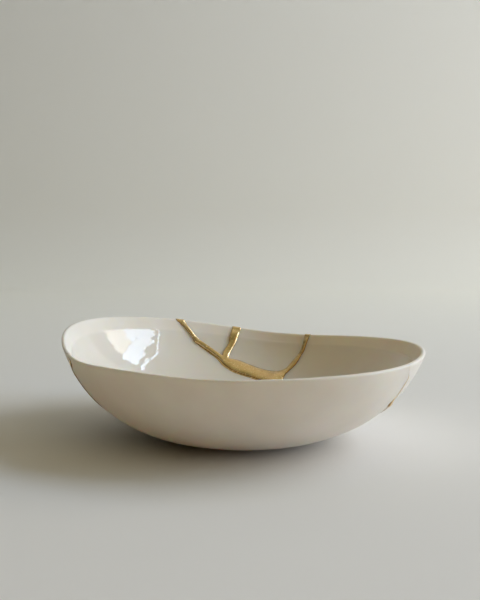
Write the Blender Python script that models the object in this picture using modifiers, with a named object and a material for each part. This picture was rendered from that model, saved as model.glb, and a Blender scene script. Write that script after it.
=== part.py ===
"""Kintsugi bowl: a thrown porcelain bowl that was squeezed out of round while soft, later broke into
five sherds, and was joined again with raised seams of gold lacquer.

Metres, +Z up. The bowl stands on its flat foot with the foot's centre at the origin. Everything is
first made on the turned, round bowl, and then each finished solid is squeezed by the same rule.
"""

import math

import bmesh
import bpy
from mathutils import Vector

# Driving sizes of the turned bowl
RIM_RADIUS = 0.0895
RIM_HEIGHT = 0.0454
FOOT_RADIUS = 0.0215
FLOOR_THICKNESS = 0.0042
BAND_THICKNESS = 0.0026
LIP_THICKNESS = 0.0020
LIP_BAND = 0.0065
WALL_CURL_ANGLE = math.radians(72.1)
THINNING = 0.7

# How the soft bowl was squeezed: lobes round the rim as (how many, how far each pushes as a share of the
# radius or of the rim's height, degrees where it peaks)
OVAL_SHARES = ((2, 0.0775, 127.4), (3, 0.0052, 66.8), (4, 0.0095, 62.5), (5, 0.0060, 6.0))
OVAL_POWER = 1.15
WAVE_SHARES = (
    (1, 0.0366, 178.5), (2, 0.0775, 150.5), (3, 0.0405, 16.4),
    (4, 0.0086, -37.9), (5, 0.0055, 17.8), (6, 0.0073, -12.3),
)
WAVE_POWER = 1.41
RIM_SHIFT_X = -0.0011
RIM_SHIFT_Y = 0.0001

# The gold lacquer
CRACK_WIDTH = 0.0008
SEAM_GAP = 0.0003
BEAD_WIDTH = 0.0034
OUTER_BEAD_WIDTH = 0.0026
BEAD_HEIGHT = 0.0007
BEAD_BITE = 0.00025
BRANCH_LIFT = 0.00008
BRANCH_END_SHARE = 0.6

# Near the lip, as shares of a bead's width below it: where a bead starts to swing level, where it has
# swung level, and where the outer bead starts to swell to the inner bead's width
SWING_START_SHARE = 2.5
SWING_END_SHARE = 1.0
SWELL_START_SHARE = 2.0

# The cracks run along the wall through points: degrees round the bowl, share of the way from foot to
# lip, and the inner bead's width there as a share of BEAD_WIDTH
LONG_CRACK = (
    (111.5, 1.000, 1.05), (109.0, 0.935, 0.72), (106.9, 0.877, 0.74), (103.7, 0.822, 1.00),
    (100.0, 0.769, 0.95), (96.8, 0.724, 1.25), (89.3, 0.655, 2.45), (79.5, 0.606, 2.40),
    (72.5, 0.582, 1.90), (67.6, 0.535, 1.30), (65.0, 0.450, 1.00), (57.0, 0.360, 0.95),
    (38.0, 0.305, 0.90), (12.0, 0.330, 0.90), (-7.0, 0.430, 0.90), (-19.0, 0.560, 0.85),
    (-27.5, 0.680, 1.10), (-32.5, 0.780, 0.85), (-36.0, 0.880, 0.85), (-38.5, 1.000, 1.00),
)
SHORT_CRACK = ((90.6, 1.000, 1.40), (91.8, 0.915, 1.40), (92.6, 0.855, 1.30), LONG_CRACK[5])
CURVED_CRACK = (
    (62.2, 1.000, 1.10), (62.4, 0.930, 0.78), (62.8, 0.860, 0.72), (64.7, 0.760, 0.90),
    (67.2, 0.660, 0.95), LONG_CRACK[9],
)
LEFT_CRACK = (
    (-165.5, 1.000, 1.00), (-168.8, 0.930, 0.85), (-169.8, 0.865, 0.85), (-168.2, 0.795, 0.85),
    (-166.2, 0.720, 0.85), (-166.8, 0.630, 0.85), (-172.0, 0.530, 0.90), (-188.0, 0.400, 0.90),
    (-214.0, 0.320, 0.90), (-242.0, 0.300, 0.90), (-272.0, 0.295, 0.90), (-293.0, 0.315, 0.90),
    (LONG_CRACK[11][0] - 360, *LONG_CRACK[11][1:]),
)
BRANCH_CRACKS = (SHORT_CRACK, CURVED_CRACK, LEFT_CRACK)

# A place inside each sherd: degrees round the bowl and share of the way from foot to lip
SHERDS = {
    "sherd_front_and_foot": (-100.0, 0.5),
    "sherd_back_left": (150.0, 0.8),
    "sherd_back_right": (15.0, 0.8),
    "sherd_rim_small": (101.0, 0.95),
    "sherd_rim_middle": (77.0, 0.85),
}

# How finely the surfaces are faceted
TURN_STEPS = 64
WALL_STEPS = 11
LIP_STEPS = 4
CRACK_STEP = 0.0045

# A bead's domed section, as shares of its half width and of its height
BEAD_SECTION = ((-1.0, 0.0), (0.0, 0.0), (1.0, 0.0), (0.74, 0.68), (0.28, 1.0), (-0.28, 1.0), (-0.74, 0.68))

# Colour, roughness and metallic value of each stuff
PORCELAIN = ((0.72, 0.69, 0.62, 1.0), 0.35, 0.0)
GOLD = ((0.62, 0.44, 0.16, 1.0), 0.28, 1.0)

# The lip is round, so the wall's arc stops half a lip below the rim
ARC_HEIGHT = RIM_HEIGHT - LIP_THICKNESS * (1 + math.cos(WALL_CURL_ANGLE)) / 2

# The steps round the lip, from just past the outer face to just before the inner face
LIP_OVERS = [step / LIP_STEPS for step in range(1, LIP_STEPS)]


def clear_scene():
    for old in list(bpy.data.objects):
        bpy.data.objects.remove(old, do_unlink=True)


def new_collection(name):
    group = bpy.data.collections.new(name)
    bpy.context.scene.collection.children.link(group)
    return group


def new_object(name, mesh, group):
    made = bpy.data.objects.new(name, mesh)
    group.objects.link(made)
    return made


def wall_arc(share):
    """Outer face: radius and height at a share of the way from the foot's edge to the lip."""
    turn = WALL_CURL_ANGLE * share
    radius = FOOT_RADIUS + (RIM_RADIUS - FOOT_RADIUS) * math.sin(turn) / math.sin(WALL_CURL_ANGLE)
    height = ARC_HEIGHT * (1 - math.cos(turn)) / (1 - math.cos(WALL_CURL_ANGLE))
    return Vector((radius, height))


def wall_run(share):
    """Outer face: how far radius and height move on for one whole share."""
    turn = WALL_CURL_ANGLE * share
    out = (RIM_RADIUS - FOOT_RADIUS) * math.cos(turn) * WALL_CURL_ANGLE / math.sin(WALL_CURL_ANGLE)
    up = ARC_HEIGHT * math.sin(turn) * WALL_CURL_ANGLE / (1 - math.cos(WALL_CURL_ANGLE))
    return Vector((out, up))


def thickness(share):
    """The wall thins slowly up to the lip band, and faster through the band to the lip."""
    band = 1 - LIP_BAND / wall_run(1).length
    if share < band:
        return FLOOR_THICKNESS + (BAND_THICKNESS - FLOOR_THICKNESS) * (share / band) ** THINNING
    through = min((share - band) / (1 - band), 1)
    return BAND_THICKNESS + (LIP_THICKNESS - BAND_THICKNESS) * through


def skin(share, over, proud=0.0):
    """A point of the turned bowl's section. over is 0 on the outer face and 1 on the inner face, and
    goes round the lip in between. proud lifts the point off the skin."""
    along = wall_run(share).normalized()
    inward = Vector((-along.y, along.x))
    half = thickness(share) / 2
    swing = math.pi * over
    facing = along * math.sin(swing) - inward * math.cos(swing)
    return wall_arc(share) + inward * half + facing * (half + proud)


def on_bowl(angle, share, over, proud=0.0):
    """The same point on the bowl itself, at an angle round it."""
    radius, height = skin(share, over, proud)
    return Vector((radius * math.cos(angle), radius * math.sin(angle), height))


def lobes(pattern, angle):
    return sum(size * math.cos(count * (angle - math.radians(peak))) for count, size, peak in pattern)


def squeeze(point):
    """Where a point of the turned bowl lies on the squeezed one. The foot hardly moves."""
    angle = math.atan2(point.y, point.x)
    out = math.hypot(point.x, point.y) / RIM_RADIUS
    lift = max(point.z, 0) / RIM_HEIGHT
    stretch = 1 + lobes(OVAL_SHARES, angle) * out ** OVAL_POWER
    x = point.x * stretch + RIM_SHIFT_X * out
    y = point.y * stretch + RIM_SHIFT_Y * out
    z = point.z + lobes(WAVE_SHARES, angle) * RIM_HEIGHT * lift ** WAVE_POWER
    return Vector((x, y, z))


def turned_vessel(name, group):
    """The round bowl as a section turned by a Screw."""
    shares = [step / WALL_STEPS for step in range(WALL_STEPS + 1)]
    section = [skin(share, 1) for share in shares]
    section += [skin(1, over) for over in reversed(LIP_OVERS)]
    section += [skin(share, 0) for share in reversed(shares)]
    section = [Vector((0, section[0].y))] + section + [Vector((0, section[-1].y))]

    mesh = bpy.data.meshes.new(name)
    shape = bmesh.new()
    corners = [shape.verts.new((point.x, 0, point.y)) for point in section]
    for start, end in zip(corners, corners[1:]):
        shape.edges.new((start, end))
    shape.to_mesh(mesh)
    shape.free()

    vessel = new_object(name, mesh, group)
    screw = vessel.modifiers.new("turn", "SCREW")
    screw.angle = math.tau
    screw.steps = TURN_STEPS
    screw.render_steps = TURN_STEPS
    screw.use_merge_vertices = True
    screw.merge_threshold = 0.00001
    settle(vessel)
    face_outwards(vessel)
    return vessel


def settle(thing):
    """Turns an object and its modifiers into a plain mesh."""
    graph = bpy.context.evaluated_depsgraph_get()
    graph.update()
    mesh = bpy.data.meshes.new_from_object(thing.evaluated_get(graph))
    thing.modifiers.clear()
    thing.data = mesh


def face_outwards(thing):
    shape = bmesh.new()
    shape.from_mesh(thing.data)
    bmesh.ops.recalc_face_normals(shape, faces=shape.faces)
    shape.to_mesh(thing.data)
    shape.free()


def combine(thing, operation, others):
    """Joins, cuts or keeps the overlap of one object with others, one after another."""
    for other in others:
        cut = thing.modifiers.new(operation.lower(), "BOOLEAN")
        cut.operation = operation
        cut.solver = "EXACT"
        cut.use_self = True
        cut.object = other
    settle(thing)


def smooth_value(before, start, end, after, part):
    """A Catmull-Rom curve's value between start and end."""
    return 0.5 * (
        2 * start
        + (end - before) * part
        + (2 * before - 5 * start + 4 * end - after) * part ** 2
        + (3 * start - before - 3 * end + after) * part ** 3
    )


def crack_line(points):
    """Stations along a crack as (angle, share, bead width), about CRACK_STEP apart."""
    points = [(math.radians(degrees), share, width * BEAD_WIDTH) for degrees, share, width in points]
    ends = [points[0]] + points + [points[-1]]
    stations = []
    for before, start, end, after in zip(ends, ends[1:], ends[2:], ends[3:]):
        steps = max(2, round((on_bowl(*end[:2], 1) - on_bowl(*start[:2], 1)).length / CRACK_STEP))
        for step in range(steps):
            part = step / steps
            stations.append(tuple(smooth_value(*four, part) for four in zip(before, start, end, after)))
    stations.append(points[-1])
    return stations


def sideways(stations, index):
    """The bead's sideways direction at a station, as (round the bowl, up the wall). It is square to the
    crack, but swings level at the lip, so that a slanting crack crosses the lip cleanly."""
    before = stations[max(index - 1, 0)]
    after = stations[min(index + 1, len(stations) - 1)]
    share = stations[index][1]
    run = wall_run(share).length
    around = (after[0] - before[0]) * wall_arc(share).x
    upward = (after[1] - before[1]) * run
    length = math.hypot(around, upward)
    square = Vector((-upward, around)) / length
    widths_below = (1 - share) * run / BEAD_WIDTH
    swing = (SWING_START_SHARE - widths_below) / (SWING_START_SHARE - SWING_END_SHARE)
    level_part = min(max(swing, 0), 1)
    if level_part == 0:
        return square
    level = Vector((-length / upward, 0))
    return square.lerp(level, level_part)


def bead_ring(station, aside, over, width, height, lift):
    """One section of a bead, laid on the skin so that its base follows the wall."""
    angle, share, _ = station
    radius = wall_arc(share).x
    run = wall_run(share).length
    ring = []
    for across, up in BEAD_SECTION:
        shift = aside * across * width / 2
        place = (angle + shift.x / radius, min(share + shift.y / run, 1))
        ring.append(on_bowl(*place, over, SEAM_GAP + lift + up * height))
    return ring


def loft(name, rings, closed, group):
    """A solid skinned over rings of equal count, either closed into a loop or capped at both ends."""
    mesh = bpy.data.meshes.new(name)
    shape = bmesh.new()
    rows = [[shape.verts.new(point) for point in ring] for ring in rings]
    pairs = list(zip(rows, rows[1:]))
    if closed:
        pairs.append((rows[-1], rows[0]))
    else:
        shape.faces.new(rows[0])
        shape.faces.new(rows[-1])
    for first, second in pairs:
        count = len(first)
        for side in range(count):
            following = (side + 1) % count
            shape.faces.new((first[side], first[following], second[following], second[side]))
    bmesh.ops.recalc_face_normals(shape, faces=shape.faces)
    shape.to_mesh(mesh)
    shape.free()
    return new_object(name, mesh, group)


def lip_rings(station, aside, overs):
    return [bead_ring(station, aside, over, station[2], BEAD_HEIGHT, 0) for over in overs]


def long_bead(name, points, group):
    """The bead of a crack from rim to rim: a loop along the inner face, over the lip, back along the
    outer face and over the lip again."""
    stations = crack_line(points)
    asides = [sideways(stations, index) for index in range(len(stations))]
    rings = []
    for station, aside in zip(stations, asides):
        rings.append(bead_ring(station, aside, 1, station[2], BEAD_HEIGHT, 0))
    rings += lip_rings(stations[-1], asides[-1], reversed(LIP_OVERS))
    for index in reversed(range(len(stations))):
        width = outer_width(stations[index])
        rings.append(bead_ring(stations[index], asides[index], 0, width, BEAD_HEIGHT, 0))
    rings += lip_rings(stations[0], asides[0], LIP_OVERS)
    return loft(name, rings, True, group)


def outer_width(station):
    """The outer bead is even, and swells to the inner bead's width at the lip."""
    widths_below = (1 - station[1]) * wall_run(1).length / BEAD_WIDTH
    part = min(widths_below / SWELL_START_SHARE, 1)
    return station[2] + (OUTER_BEAD_WIDTH - station[2]) * part


def branch_bead(name, points, group):
    """The bead of a crack that runs from the rim into another: up the inner face, over the lip and down
    the outer face. Its ends shrink inside the bead that it meets."""
    stations = crack_line(points)
    asides = [sideways(stations, index) for index in range(len(stations))]
    last = len(stations) - 1
    rings = []
    for index in reversed(range(len(stations))):
        shrink = BRANCH_END_SHARE if index == last else 1
        width = stations[index][2] * shrink
        height = (BEAD_HEIGHT - 2 * BRANCH_LIFT) * shrink
        rings.append(bead_ring(stations[index], asides[index], 1, width, height, BRANCH_LIFT))
    for over in reversed(LIP_OVERS):
        height = BEAD_HEIGHT - 2 * BRANCH_LIFT
        rings.append(bead_ring(stations[0], asides[0], over, stations[0][2], height, BRANCH_LIFT))
    for index in range(len(stations)):
        shrink = BRANCH_END_SHARE if index == last else 1
        width = outer_width(stations[index]) * shrink
        height = (BEAD_HEIGHT - 2 * BRANCH_LIFT) * shrink
        rings.append(bead_ring(stations[index], asides[index], 0, width, height, BRANCH_LIFT))
    return loft(name, rings, False, group)


def crack_blade(name, points, width, reach, group):
    """A thin blade through the wall all along a crack. It stands proud of both faces and of the lip by
    reach."""
    stations = crack_line(points)
    mesh = bpy.data.meshes.new(name)
    shape = bmesh.new()
    outer = [shape.verts.new(on_bowl(angle, share, 0, reach)) for angle, share, _ in stations]
    inner = [shape.verts.new(on_bowl(angle, share, 1, reach)) for angle, share, _ in stations]
    for index in range(len(stations) - 1):
        shape.faces.new((outer[index], outer[index + 1], inner[index + 1], inner[index]))
    for end in (0, -1):
        angle, share, _ = stations[end]
        if share == 1:
            lip = [shape.verts.new(on_bowl(angle, 1, over, reach)) for over in LIP_OVERS]
            shape.faces.new([outer[end]] + lip + [inner[end]])
    bmesh.ops.recalc_face_normals(shape, faces=shape.faces)
    shape.to_mesh(mesh)
    shape.free()

    blade = new_object(name, mesh, group)
    solid = blade.modifiers.new("thickness", "SOLIDIFY")
    solid.thickness = width
    solid.offset = 0
    solid.use_even_offset = True
    settle(blade)
    face_outwards(blade)
    return blade


def crack_blades(name, width, reach, group):
    """All the cracks as one joined blade."""
    joined = crack_blade(name, LONG_CRACK, width, reach, group)
    others = [crack_blade(f"{name}_branch", crack, width, reach, group) for crack in BRANCH_CRACKS]
    combine(joined, "UNION", others)
    return joined


def squeeze_object(thing):
    for corner in thing.data.vertices:
        corner.co = squeeze(corner.co)
    thing.data.update()


def loose_parts(mesh):
    """The vertex sets of a mesh's separate bodies."""
    shape = bmesh.new()
    shape.from_mesh(mesh)
    shape.verts.ensure_lookup_table()
    left = set(range(len(shape.verts)))
    parts = []
    while left:
        front = [left.pop()]
        part = set(front)
        while front:
            corner = shape.verts[front.pop()]
            for edge in corner.link_edges:
                other = edge.other_vert(corner).index
                if other in left:
                    left.remove(other)
                    part.add(other)
                    front.append(other)
        parts.append(part)
    shape.free()
    return parts


def take_part(name, mesh, part, group):
    """A new object that keeps only one of a mesh's separate bodies."""
    kept = mesh.copy()
    kept.name = name
    shape = bmesh.new()
    shape.from_mesh(kept)
    spare = [corner for corner in shape.verts if corner.index not in part]
    bmesh.ops.delete(shape, geom=spare, context="VERTS")
    shape.to_mesh(kept)
    shape.free()
    return new_object(name, kept, group)


def make_sherds(parts_group, cutters_group):
    """The bowl broken along its cracks, each sherd told by the place that it holds."""
    whole = turned_vessel("whole_bowl", cutters_group)
    cutter = crack_blades("crack_cutter", CRACK_WIDTH + 2 * SEAM_GAP, SEAM_GAP + BEAD_HEIGHT, cutters_group)
    combine(whole, "DIFFERENCE", [cutter])
    parts = loose_parts(whole.data)
    corners = [corner.co for corner in whole.data.vertices]
    sherds = []
    for name, (degrees, share) in SHERDS.items():
        place = on_bowl(math.radians(degrees), share, 0)
        nearest = min(parts, key=lambda part: min((corners[index] - place).length for index in part))
        sherds.append(take_part(name, whole.data, nearest, parts_group))
    return sherds


def make_gold(parts_group, cutters_group):
    """The lacquer: a thin web that fills the cracks, and a bead that laps over both faces and the lip."""
    web = crack_blades("crack_web", CRACK_WIDTH, SEAM_GAP + BEAD_BITE, cutters_group)
    branches = [branch_bead("branch_bead", crack, cutters_group) for crack in BRANCH_CRACKS]
    gold = long_bead("gold_seams", LONG_CRACK, parts_group)
    combine(gold, "UNION", branches + [web])
    return gold


def finish(thing, stuff):
    """Gives an object its own material and smooth shading."""
    colour, roughness, metallic = stuff
    material = bpy.data.materials.new(thing.name)
    material.use_nodes = True
    shader = material.node_tree.nodes["Principled BSDF"]
    shader.inputs["Base Color"].default_value = colour
    shader.inputs["Roughness"].default_value = roughness
    shader.inputs["Metallic"].default_value = metallic
    thing.data.materials.clear()
    thing.data.materials.append(material)
    thing.data.shade_smooth()
    thing.data.set_sharp_from_angle(angle=math.radians(40))


def hide_cutters(group):
    for cutter in group.objects:
        cutter.hide_render = True
        cutter.display_type = "WIRE"


def main():
    clear_scene()
    parts_group = new_collection("kintsugi_bowl")
    cutters_group = new_collection("cutters")
    bowl = bpy.data.objects.new("kintsugi_bowl", None)
    parts_group.objects.link(bowl)
    sherds = make_sherds(parts_group, cutters_group)
    gold = make_gold(parts_group, cutters_group)
    for thing in sherds + [gold]:
        squeeze_object(thing)
        thing.parent = bowl
        finish(thing, GOLD if thing is gold else PORCELAIN)
    hide_cutters(cutters_group)


main()
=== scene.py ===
# %% [markdown]
# # A porcelain bowl joined with gold
#
# The bowl was thrown thin, squeezed a little out of round while it was soft, glazed inside and left bare
# outside. Later it broke into five sherds, and raised seams of gold lacquer hold them together. This
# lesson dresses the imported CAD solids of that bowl: each solid is replaced by a finer piece in the same
# place, with the finish of the real one.

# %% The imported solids
import math
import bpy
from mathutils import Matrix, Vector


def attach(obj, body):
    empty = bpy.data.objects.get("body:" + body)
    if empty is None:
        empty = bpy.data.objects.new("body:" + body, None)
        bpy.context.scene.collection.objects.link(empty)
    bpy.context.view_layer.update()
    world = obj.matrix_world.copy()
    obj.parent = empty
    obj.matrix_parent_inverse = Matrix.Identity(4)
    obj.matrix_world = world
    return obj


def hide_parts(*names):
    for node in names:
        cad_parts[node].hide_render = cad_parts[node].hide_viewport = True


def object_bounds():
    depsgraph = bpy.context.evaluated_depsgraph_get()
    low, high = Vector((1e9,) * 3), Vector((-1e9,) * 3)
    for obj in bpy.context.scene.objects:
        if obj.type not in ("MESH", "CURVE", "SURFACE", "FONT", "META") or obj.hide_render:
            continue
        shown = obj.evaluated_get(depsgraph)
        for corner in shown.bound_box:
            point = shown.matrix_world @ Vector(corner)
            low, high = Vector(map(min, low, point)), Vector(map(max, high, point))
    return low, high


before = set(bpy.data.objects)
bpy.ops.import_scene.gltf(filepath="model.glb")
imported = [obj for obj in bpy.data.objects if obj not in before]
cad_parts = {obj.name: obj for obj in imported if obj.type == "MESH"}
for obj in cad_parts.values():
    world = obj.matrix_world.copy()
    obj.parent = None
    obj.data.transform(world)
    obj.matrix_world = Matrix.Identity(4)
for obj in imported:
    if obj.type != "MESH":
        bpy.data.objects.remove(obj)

from types import SimpleNamespace

import bmesh
import bpy
from mathutils import Quaternion, Vector, kdtree, noise
from mathutils.geometry import delaunay_2d_cdt

cad_low, cad_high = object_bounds()
MM = 0.001
print("the solids measure", [round((high - low) / MM, 1) for low, high in zip(cad_low, cad_high)], "mm")

# %% [markdown]
# ## The rule of the bowl
#
# A thrown bowl is a section turned round an axis. Here the section is a wall that curls up from a flat
# foot, thins on its way and ends in a round lip. The soft bowl was then squeezed, which a few lobes round
# the rim describe. Each lobe is a count of bulges, their share of the size, and the degrees of the first.
# It could also be sculpted, but a rule gives every piece the same skin, so that the sherds and the gold
# fit each other. The sizes are the CAD's own, in metres, radians and plain powers. They stand in one
# place, because both plain Python and a Geometry Nodes tree read them.

# %% Sizes of the bowl
SIZES = {
    "Rim Radius": 0.0895,
    "Rim Height": 0.0454,
    "Foot Radius": 0.0215,
    "Floor Thickness": 0.0042,
    "Band Thickness": 0.0026,
    "Lip Thickness": 0.0020,
    "Lip Band": 0.0065,
    "Wall Curl": math.radians(72.1),
    "Thinning": 0.7,
    "Oval Power": 1.15,
    "Wave Power": 1.41,
    "Rim Shift X": -0.0011,
    "Rim Shift Y": 0.0001,
}
OVAL_SHARES = ((2, 0.0775, 127.4), (3, 0.0052, 66.8), (4, 0.0095, 62.5), (5, 0.0060, 6.0))
WAVE_SHARES = (
    (1, 0.0366, 178.5), (2, 0.0775, 150.5), (3, 0.0405, 16.4),
    (4, 0.0086, -37.9), (5, 0.0055, 17.8), (6, 0.0073, -12.3),
)


def by_plain_names(values):
    """The same values, to be read as bowl.rim_radius and so on."""
    return SimpleNamespace(**{name.lower().replace(" ", "_"): value for name, value in values.items()})


bowl = by_plain_names(SIZES)
LIP_LEAN = 0.45

# %% [markdown]
# ## Sums that nodes can do
#
# A node tree is easier to read as an expression than as a heap of boxes. The class below wraps a socket,
# and each sum on it adds one Math node. The same formula then works on plain numbers too, so the rule of
# the bowl is written only once.

# %% A socket that can be added and multiplied
PLAIN = {
    "MAXIMUM": max, "MINIMUM": min, "ABSOLUTE": abs,
    "SINE": math.sin, "COSINE": math.cos, "SQRT": math.sqrt,
}


class Term:
    """A number that nodes work out."""

    def __init__(self, tree, socket):
        self.tree = tree
        self.socket = socket

    def __add__(self, other):
        return maths("ADD", self, other)

    def __sub__(self, other):
        return maths("SUBTRACT", self, other)

    def __rsub__(self, other):
        return maths("SUBTRACT", other, self)

    def __mul__(self, other):
        return maths("MULTIPLY", self, other)

    def __truediv__(self, other):
        return maths("DIVIDE", self, other)

    def __rtruediv__(self, other):
        return maths("DIVIDE", other, self)

    def __pow__(self, other):
        return maths("POWER", self, other)

    __radd__ = __add__
    __rmul__ = __mul__


def node(tree, kind, settings=None, sockets=None, output=0):
    """Adds any node: its settings first, then the values or links of its sockets."""
    made = tree.nodes.new(kind)
    for name, value in (settings or {}).items():
        if name == "stops":
            set_stops(made.color_ramp, value)
        else:
            setattr(made, name, value)
    for name, value in (sockets or {}).items():
        if isinstance(value, Term):
            tree.links.new(value.socket, made.inputs[name])
        else:
            made.inputs[name].default_value = value
    return Term(tree, made.outputs[output])


def set_stops(ramp, stops):
    """Gives a colour ramp its stops: a place and a grey value each."""
    while len(ramp.elements) < len(stops):
        ramp.elements.new(1)
    for element, (place, value) in zip(ramp.elements, stops):
        element.position = place
        element.color = (value, value, value, 1)


def maths(operation, *values):
    """A Math node where a value comes from nodes, and plain arithmetic where all are numbers."""
    trees = [value.tree for value in values if isinstance(value, Term)]
    if not trees:
        return PLAIN[operation](*values)
    return node(trees[0], "ShaderNodeMath", {"operation": operation}, dict(enumerate(values)))


def mix(factor, first, second):
    """A blend of two colours."""
    sockets = {"Factor": factor, 6: first, 7: second}
    return node(factor.tree, "ShaderNodeMix", {"data_type": "RGBA"}, sockets, output=2)


# %% The rule itself
def wall_top(size):
    """The height at which the outer face passes into the round lip."""
    return size.rim_height - size.lip_thickness * (1 + maths("COSINE", size.wall_curl)) / 2


def wall_arc(size, share):
    """Outer face: radius and height at a share of the way from the foot's edge to the lip."""
    curl = size.wall_curl
    spread = size.rim_radius - size.foot_radius
    radius = size.foot_radius + spread * maths("SINE", curl * share) / maths("SINE", curl)
    height = wall_top(size) * (1 - maths("COSINE", curl * share)) / (1 - maths("COSINE", curl))
    return radius, height


def wall_run(size, share):
    """Outer face: how far radius and height move on for one whole share, and the length of that."""
    curl = size.wall_curl
    out = (size.rim_radius - size.foot_radius) * maths("COSINE", curl * share) * curl / maths("SINE", curl)
    up = wall_top(size) * maths("SINE", curl * share) * curl / (1 - maths("COSINE", curl))
    return out, up, maths("SQRT", out * out + up * up)


def thickness(size, share):
    """The wall thins slowly up to the lip band, and faster through the band."""
    band = 1 - size.lip_band / wall_run(size, 1)[2]
    below = maths("MINIMUM", share / band, 1)
    above = maths("MAXIMUM", share - band, 0) / (1 - band)
    wall = size.floor_thickness + (size.band_thickness - size.floor_thickness) * below ** size.thinning
    return wall + (size.lip_thickness - size.band_thickness) * above


def lobes(pattern, angle):
    """The sum of a pattern's lobes at an angle."""
    waves = [push * maths("COSINE", count * (angle - math.radians(peak))) for count, push, peak in pattern]
    total = waves[0]
    for wave in waves[1:]:
        total = total + wave
    return total


def on_bowl(size, angle, share, over, proud, centre=1):
    """The place of a point on the squeezed bowl. over is 0 outside and 1 inside, and goes round the lip
    between. proud lifts it off the skin. centre runs from 0 at the axis to 1 at the foot's edge. The
    crest of the lip leans to the outer side, as a thumb and a wet sponge leave it."""
    radius, height = wall_arc(size, share)
    out, up, length = wall_run(size, share)
    half = thickness(size, share) / 2
    reach = half + proud
    swing = over * math.pi
    around, across = maths("SINE", swing), maths("COSINE", swing)
    across = across + LIP_LEAN * (1 - maths("ABSOLUTE", across))
    radius = (radius - up / length * (half - across * reach) + out / length * around * reach) * centre
    height = height + out / length * (half - across * reach) + up / length * around * reach
    far = radius / size.rim_radius
    stretch = 1 + lobes(OVAL_SHARES, angle) * far ** size.oval_power
    lift = maths("MAXIMUM", height, 0) / size.rim_height
    x = radius * maths("COSINE", angle) * stretch + size.rim_shift_x * far
    y = radius * maths("SINE", angle) * stretch + size.rim_shift_y * far
    return x, y, height + lobes(WAVE_SHARES, angle) * size.rim_height * lift ** size.wave_power


print("the lip stands", round(on_bowl(bowl, math.pi / 2, 1, 0.5, 0)[2] / MM, 1), "mm high at the back")

# %% [markdown]
# ## Laying flat patterns on the bowl
#
# A sherd and a seam are both hard to model in place, but easy to draw flat. So each is drawn as a flat
# pattern, like a paper cut-out of the opened wall, and every point carries its angle and its share of the
# way up the wall as attributes. One Geometry Nodes tree reads them and puts each point on the bowl. A
# Shrinkwrap modifier could do it too, but it would need a bowl to wrap to, and it slips at the lip. The
# tree also gives the wall the faint unevenness that hands leave: soft dents, and the rings of the
# fingers. It holds every point within the box of the solids. Its named inputs are the bowl's sizes.

# %% The tree that lays a pattern on the bowl
UNEVEN_DEPTH = 0.14 * MM
UNEVEN_PATCHES = 38.0
UNEVEN_SEED = 4.0
FINGER_RINGS = 0.012 * MM
FINGER_PITCH = 4.2 * MM


def named(tree, name):
    """An attribute of the pattern's points."""
    return node(tree, "GeometryNodeInputNamedAttribute", {"data_type": "FLOAT"}, {"Name": name})


def laying_tree():
    tree = bpy.data.node_groups.new("lay_on_the_bowl", "GeometryNodeTree")
    face = tree.interface
    face.new_socket("Geometry", in_out="INPUT", socket_type="NodeSocketGeometry")
    extra = {"Uneven Depth": UNEVEN_DEPTH, "Uneven Patches": UNEVEN_PATCHES, "Uneven Seed": UNEVEN_SEED,
             "Finger Rings": FINGER_RINGS, "Finger Pitch": FINGER_PITCH}
    for name, value in {**SIZES, **extra}.items():
        face.new_socket(name, in_out="INPUT", socket_type="NodeSocketFloat").default_value = value
    face.new_socket("Material", in_out="INPUT", socket_type="NodeSocketMaterial")
    face.new_socket("Geometry", in_out="OUTPUT", socket_type="NodeSocketGeometry")
    given = tree.nodes.new("NodeGroupInput")
    inputs = {socket.name: Term(tree, socket) for socket in given.outputs if socket.name}
    size = by_plain_names({name: inputs[name] for name in {**SIZES, **extra}})

    angle, share, over, proud, centre = (
        named(tree, name) for name in ("angle", "share", "over", "proud", "centre"))
    place = node(tree, "ShaderNodeCombineXYZ", sockets=dict(enumerate(on_bowl(size, angle, share, 0.5, 0))))
    patches = node(tree, "ShaderNodeTexNoise", {"noise_dimensions": "4D"},
                   {"Vector": place, "W": size.uneven_seed, "Scale": size.uneven_patches, "Detail": 2.0})
    turns = share * wall_run(size, 0.5)[2] / size.finger_pitch * math.tau
    rings = maths("SINE", turns + angle) * size.finger_rings
    # The unevenness is whole halfway up the wall, and fades to nothing at the foot and the lip
    halfway = share * (1 - share) * 4
    uneven = ((patches - 0.5) * 2 * size.uneven_depth + rings) * halfway
    side = maths("COSINE", over * math.pi)
    spot = on_bowl(size, angle, share, over, proud + uneven * side, centre)
    held = [maths("MINIMUM", maths("MAXIMUM", value, low), high)
            for value, low, high in zip(spot, cad_low, cad_high)]
    laid = node(tree, "ShaderNodeCombineXYZ", sockets=dict(enumerate(held)))

    moved = node(tree, "GeometryNodeSetPosition", sockets={"Geometry": inputs["Geometry"], "Position": laid})
    real = node(tree, "GeometryNodeRealizeInstances", sockets={"Geometry": moved})
    coloured = node(tree, "GeometryNodeSetMaterial",
                    sockets={"Geometry": real, "Material": inputs["Material"]})
    result = tree.nodes.new("NodeGroupOutput")
    tree.links.new(coloured.socket, result.inputs["Geometry"])
    return tree


LAYING = laying_tree()
print("the laying tree has", len(LAYING.nodes), "nodes")


# %% From a flat pattern to a piece
SHARP_ANGLE = math.radians(50)


def socket_identifier(tree, name):
    """The name by which a modifier knows an input of its tree."""
    return next(item.identifier for item in tree.interface.items_tree
                if item.in_out == "INPUT" and item.name == name)


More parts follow.
